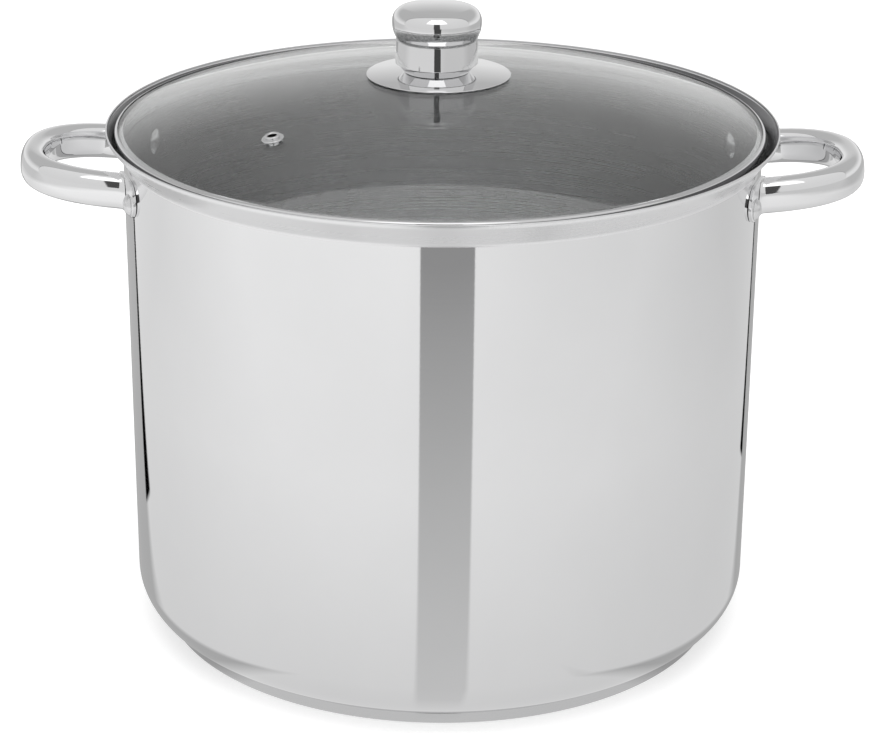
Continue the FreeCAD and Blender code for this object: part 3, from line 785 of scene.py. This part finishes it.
def plane(name, half, height):
    """Level square sheet, not part of the object."""
    mesh = bpy.data.meshes.new(name)
    corners = [(-half, -half, height), (half, -half, height), (half, half, height), (-half, half, height)]
    mesh.from_pydata(corners, [], [(0, 1, 2, 3)])
    piece = bpy.data.objects.new(name, mesh)
    bpy.context.scene.collection.objects.link(piece)
    return piece


def make_floor():
    """Pale floor for the eye and for soft light; the steel sees the reflected table instead."""
    floor = plane("studio_floor", FLOOR_HALF, 0.0)
    material, nodes, links, shader = new_material("pale_floor")
    shader.inputs["Roughness"].default_value = 0.9
    shader.inputs["Specular IOR Level"].default_value = 0.1
    shader.inputs["Base Color"].default_value = FLOOR_GREY
    shader.inputs["Emission Color"].default_value = WHITE
    shader.inputs["Emission Strength"].default_value = FLOOR_GLOW
    floor.data.materials.append(material)
    floor.visible_glossy = False


def mix_levels(nodes, links, factor, first, second):
    """Level that a factor blends from two others."""
    mixed = nodes.new("ShaderNodeMix")
    links.new(factor, mixed.inputs["Factor"])
    links.new(first, mixed.inputs["A"])
    links.new(second, mixed.inputs["B"])
    return mixed.outputs["Result"]


def product(nodes, links, *levels):
    result = levels[0]
    for level in levels[1:]:
        result = maths(nodes, links, "MULTIPLY", result, level)
    return result


def sweep_edge(nodes, links, across, along, side):
    """Black edge of the white sweep behind the pot on one side, and the duller table beyond it."""
    start_x, start_y = SWEEP_START[side]
    slope = SWEEP_SLOPE[side]
    size = math.hypot(slope, 1.0)
    out = maths(nodes, links, "MULTIPLY_ADD", across, side, -start_x)
    back = maths(nodes, links, "ADD", along, -start_y)
    rise = maths(nodes, links, "MULTIPLY", out, -slope / size)
    past = maths(nodes, links, "MULTIPLY_ADD", back, 1.0 / size, rise)
    on_side = ramp(nodes, links, maths(nodes, links, "MULTIPLY", across, side), *SWEEP_SIDE_FADE)
    line = ramp(nodes, links, maths(nodes, links, "ABSOLUTE", past),
                SWEEP_EDGE_HALF, SWEEP_EDGE_HALF + SWEEP_EDGE_SOFT, 1.0, 0.0)
    ended = ramp(nodes, links, along, SWEEP_END, SWEEP_END + SWEEP_SOFT, 1.0, 0.0)
    started = ramp(nodes, links, back, 0.0, SWEEP_SOFT, 0.0, 1.0)
    beyond = ramp(nodes, links, past, 0.0, SWEEP_SOFT, 0.0, 1.0 - BEYOND_SWEEP)
    dark = maths(nodes, links, "MAXIMUM", product(nodes, links, line, ended, started), beyond)
    return maths(nodes, links, "SUBTRACT", 1.0, product(nodes, links, dark, on_side))


def lane_masks(nodes, links, across, along):
    """Where the lane ahead of the pot lies, and its level."""
    ahead = maths(nodes, links, "SUBTRACT", -POT_RADIUS, along)
    half = maths(nodes, links, "MULTIPLY_ADD", ahead, LANE_SPREAD, LANE_HALF)
    off = maths(nodes, links, "ABSOLUTE", maths(nodes, links, "MULTIPLY_ADD", ahead, -LANE_DRIFT, across))
    inside = ramp(nodes, links, maths(nodes, links, "SUBTRACT", half, off), -LANE_SOFT, LANE_SOFT, 0.0, 1.0)
    in_front = ramp(nodes, links, ahead, -LANE_START, LANE_START, 0.0, 1.0)
    level = product(nodes, links, ramp(nodes, links, ahead, *LANE_FADE),
                    ramp(nodes, links, ahead, *LANE_END_FADE))
    return product(nodes, links, inside, in_front), level


def make_reflected_floor():
    """What polished steel sees of the table: white, with a duller lane between the two front softboxes."""
    card = plane("reflected_table", FLOOR_HALF, CARD_HEIGHT)
    card.visible_camera = False
    card.visible_diffuse = False
    card.visible_transmission = False
    card.visible_shadow = False
    material = bpy.data.materials.new("reflected_table")
    material.use_nodes = True
    nodes = material.node_tree.nodes
    links = material.node_tree.links
    nodes.clear()
    place = nodes.new("ShaderNodeTexCoord").outputs["Object"]
    split = nodes.new("ShaderNodeSeparateXYZ")
    links.new(place, split.inputs[0])
    across = split.outputs["X"]
    along = split.outputs["Y"]
    away = nodes.new("ShaderNodeVectorMath")
    away.operation = "LENGTH"
    links.new(place, away.inputs[0])
    distance = away.outputs["Value"]
    fades = [ramp(nodes, links, distance, *fade) for fade in (NEAR_FADE, FAR_FADE, FARTHEST_FADE)]
    fades.append(ramp(nodes, links, across, *SIDE_FADE))
    fades.append(ramp(nodes, links, along, *BEHIND_FADE))
    fades.append(sweep_edge(nodes, links, across, along, -1.0))
    fades.append(sweep_edge(nodes, links, across, along, 1.0))
    lane_mask, lane_level = lane_masks(nodes, links, across, along)
    level = mix_levels(nodes, links, lane_mask, product(nodes, links, *fades), lane_level)
    glow = nodes.new("ShaderNodeEmission")
    links.new(level, glow.inputs["Strength"])
    out = nodes.new("ShaderNodeOutputMaterial")
    links.new(glow.outputs[0], out.inputs["Surface"])
    card.data.materials.append(material)


def angle_ramp(nodes, links, source, low, high, dark, light):
    """Like ramp, for a source in radians between two angles in degrees."""
    return ramp(nodes, links, source, math.radians(low), math.radians(high), dark, light)


def studio_level(nodes, links):
    """Brightness of the studio in each direction: front with two softboxes, rear wall past a seam."""
    direction = nodes.new("ShaderNodeTexCoord").outputs["Generated"]
    split = nodes.new("ShaderNodeSeparateXYZ")
    links.new(direction, split.inputs[0])
    across, along, up = split.outputs["X"], split.outputs["Y"], split.outputs["Z"]
    forward = maths(nodes, links, "MULTIPLY", along, -1.0)
    azimuth = maths(nodes, links, "ARCTAN2", maths(nodes, links, "ABSOLUTE", across), forward)
    height = maths(nodes, links, "ARCSINE", up)
    tilt = maths(nodes, links, "ARCTAN2", up, forward)

    beside = angle_ramp(nodes, links, azimuth, GAP_HALF_ANGLE - GAP_SOFT, GAP_HALF_ANGLE + GAP_SOFT, 1.0, 0.0)
    under_box = angle_ramp(nodes, links, height, BOX_LOW - BOX_SOFT / 2, BOX_LOW, 1.0, 0.0)
    gap = product(nodes, links, beside, under_box)
    lit = maths(nodes, links, "MULTIPLY_ADD", gap, GAP_LEVEL - 1.0, 1.0)

    seam_place = ZENITH_EDGE + ZENITH_SOFT
    behind = angle_ramp(nodes, links, tilt, ZENITH_EDGE, seam_place, 0.0, 1.0)
    from_seam = maths(nodes, links, "SUBTRACT", tilt, math.radians(seam_place))
    from_seam = maths(nodes, links, "ABSOLUTE", from_seam)
    back = product(nodes, links, angle_ramp(nodes, links, height, *BACK_FADE),
                   angle_ramp(nodes, links, from_seam, *SEAM_FADE))
    walls = mix_levels(nodes, links, behind, angle_ramp(nodes, links, height, *FRONT_FADE), back)

    box = product(nodes, links,
                  angle_ramp(nodes, links, azimuth, BOX_HALF_ANGLE, BOX_HALF_ANGLE + BOX_SOFT, 1.0, 0.0),
                  angle_ramp(nodes, links, height, BOX_LOW, BOX_LOW + BOX_SOFT, 0.0, 1.0),
                  angle_ramp(nodes, links, height, BOX_HIGH, BOX_HIGH + BOX_SOFT, 1.0, 0.0))
    return maths(nodes, links, "MULTIPLY_ADD", box, BOX_EXTRA, product(nodes, links, walls, lit))


def make_world():
    """White backdrop for the eye; for light and reflections a studio with two front softboxes."""
    world = bpy.data.worlds.new("studio")
    bpy.context.scene.world = world
    world.use_nodes = True
    nodes = world.node_tree.nodes
    links = world.node_tree.links
    nodes.clear()
    studio = nodes.new("ShaderNodeBackground")
    links.new(studio_level(nodes, links), studio.inputs["Strength"])
    backdrop = nodes.new("ShaderNodeBackground")
    backdrop.inputs["Color"].default_value = WHITE
    rays = nodes.new("ShaderNodeLightPath")
    choose = nodes.new("ShaderNodeMixShader")
    links.new(rays.outputs["Is Camera Ray"], choose.inputs[0])
    links.new(studio.outputs[0], choose.inputs[1])
    links.new(backdrop.outputs[0], choose.inputs[2])
    out = nodes.new("ShaderNodeOutputWorld")
    links.new(choose.outputs[0], out.inputs["Surface"])


def make_top_light():
    """Large soft light overhead, which the steel doesn't reflect."""
    data = bpy.data.lights.new("top_fill", "AREA")
    data.shape = "RECTANGLE"
    data.size = TOP_LIGHT_SIZE
    data.size_y = TOP_LIGHT_SIZE
    data.energy = TOP_LIGHT_POWER
    lamp = bpy.data.objects.new("top_fill", data)
    bpy.context.scene.collection.objects.link(lamp)
    lamp.location = TOP_LIGHT_PLACE
    lamp.rotation_mode = "QUATERNION"
    lamp.rotation_quaternion = TOP_LIGHT_PLACE.to_track_quat("Z", "Y")
    lamp.visible_glossy = False


def make_camera():
    """Camera a little above the lid, ahead of the pot."""
    data = bpy.data.cameras.new("camera")
    data.lens = CAMERA_LENS
    data.sensor_width = CAMERA_SENSOR
    data.clip_start = CAMERA_NEAREST
    camera = bpy.data.objects.new("camera", data)
    bpy.context.scene.collection.objects.link(camera)
    flat = math.cos(CAMERA_PITCH)
    forward = Vector((math.sin(CAMERA_YAW) * flat, math.cos(CAMERA_YAW) * flat, -math.sin(CAMERA_PITCH)))
    right = Vector((math.cos(CAMERA_YAW), -math.sin(CAMERA_YAW), 0))
    up = right.cross(forward)
    turn = Matrix((right, up, -forward)).transposed().to_4x4()
    roll = Matrix.Rotation(CAMERA_ROLL, 4, "Z")
    camera.matrix_world = Matrix.Translation(CAMERA_PLACE) @ turn @ roll
    bpy.context.scene.camera = camera


make_pot()
make_base()
make_handle("right_loop_handle", "right_handle", 1)
make_handle("left_loop_handle", "left_handle", -1)
make_glass()
make_band()
make_eyelet()
make_flange()
make_cup()
make_cap()
dress_cad()
make_floor()
make_reflected_floor()
make_world()
make_top_light()
make_camera()
bpy.context.scene.view_settings.view_transform = "Standard"
